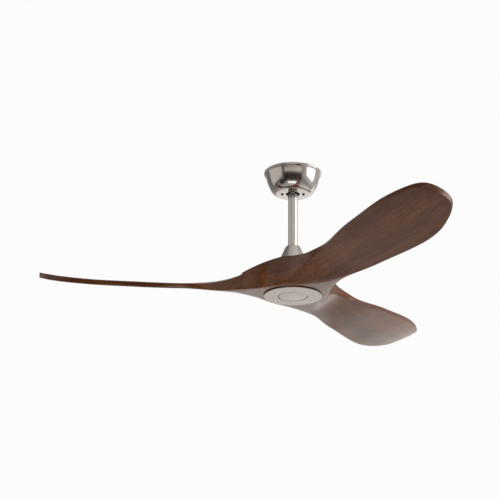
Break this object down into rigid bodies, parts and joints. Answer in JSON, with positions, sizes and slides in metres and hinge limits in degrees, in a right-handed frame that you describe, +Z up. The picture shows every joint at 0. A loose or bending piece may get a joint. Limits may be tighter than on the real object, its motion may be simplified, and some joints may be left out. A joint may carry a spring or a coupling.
{
  "type": "ceiling fan",
  "caption": "Ceiling fan hung on a short downrod: carved wooden blades meet in a hub around the motor, under a domed nickel canopy, with a flat metal plate below and no lamp.",
  "frame": {"origin": "on the fan's spin axis, at the ceiling face of the bracket plate", "axes": "+Z up along the spin axis; +Y away from the viewer of the picture, +X to the viewer's right"},
  "size_m": [1.0918, 1.2395, 0.369],
  "materials": {
    "zinc_steel": "zinc-plated pressed steel",
    "polished_nickel": "warm polished nickel plate",
    "dark_screw": "black oxide",
    "white_plastic": "fine moulded texture",
    "lead_insulation": "smooth insulation",
    "supply_insulation": "smooth insulation",
    "connector_plastic": "moulded plastic",
    "black_nylon": "fine moulded texture",
    "ball_iron": "dark baked enamel",
    "bright_steel": "bright zinc plate",
    "satin_nickel": "satin nickel plate",
    "cable_jacket": "smooth jacket",
    "spring_steel": "oiled spring steel",
    "core_iron": "stacked laminations",
    "copper_wire": "enamelled copper wire",
    "board_laminate": "solder mask",
    "cover_nickel": "fine satin nickel plate",
    "black_rubber": "matte moulded rubber",
    "cast_aluminium": "as-cast with machined seats",
    "magnet": "nickelled magnet",
    "bearing_steel": "ground steel",
    "walnut": "walnut stain under satin lacquer",
    "plate_nickel": "light satin nickel plate",
    "plate_screw": "satin nickel plate"
  },
  "bodies": {
    "mount": {"ceiling_bracket": "zinc_steel", "canopy": "polished_nickel", "canopy_screws": "dark_screw", "receiver": "white_plastic", "receiver_leads": "lead_insulation", "wire_connectors": "connector_plastic", "supply_leads": "supply_insulation", "cable_plug": "white_plastic"},
    "ball_seat": {"ball_seat": "black_nylon"},
    "downrod": {"hanger_ball": "ball_iron", "ball_cross_pin": "bright_steel", "ball_set_screw": "bright_steel", "downrod": "satin_nickel", "motor_cable": "cable_jacket", "yoke": "ball_iron", "clevis_pin": "bright_steel", "cotter_clip": "bright_steel", "yoke_set_screws": "bright_steel", "motor_shaft": "bright_steel", "shaft_snap_ring": "spring_steel", "stator_core": "core_iron", "stator_windings": "copper_wire", "driver_board": "board_laminate"},
    "coupling_cover": {"coupling_cover": "cover_nickel", "cover_grommet": "black_rubber"},
    "rotor": {"rotor_housing": "cast_aluminium", "rotor_cover": "cast_aluminium", "housing_screws": "bright_steel", "magnet_ring": "magnet", "upper_bearing": "bearing_steel", "lower_bearing": "bearing_steel", "blade_1": "walnut", "blade_2": "walnut", "blade_3": "walnut", "blade_screws": "bright_steel", "hub_gasket": "black_rubber", "hub_plate": "plate_nickel", "hub_plate_screws": "plate_screw", "centre_cap": "plate_nickel"}
  },
  "joints": [
    {"name": "seat_tilt", "type": "hinge", "parent": "mount", "child": "ball_seat", "pos_m": [0, 0, -0.04], "axis": [1, 0, 0], "range_deg": [-8, 8]},
    {"name": "rod_tilt", "type": "hinge", "parent": "ball_seat", "child": "downrod", "pos_m": [0, 0, -0.04], "axis": [0, 1, 0], "range_deg": [-8, 8]},
    {"name": "cover_slide", "type": "slide", "parent": "downrod", "child": "coupling_cover", "axis": [0, 0, 1], "range_m": [0, 0.12]},
    {"name": "blades_spin", "type": "hinge", "parent": "downrod", "child": "rotor", "pos_m": [0, 0, -0.365], "axis": [0, 0, 1], "continuous": true}
  ]
}
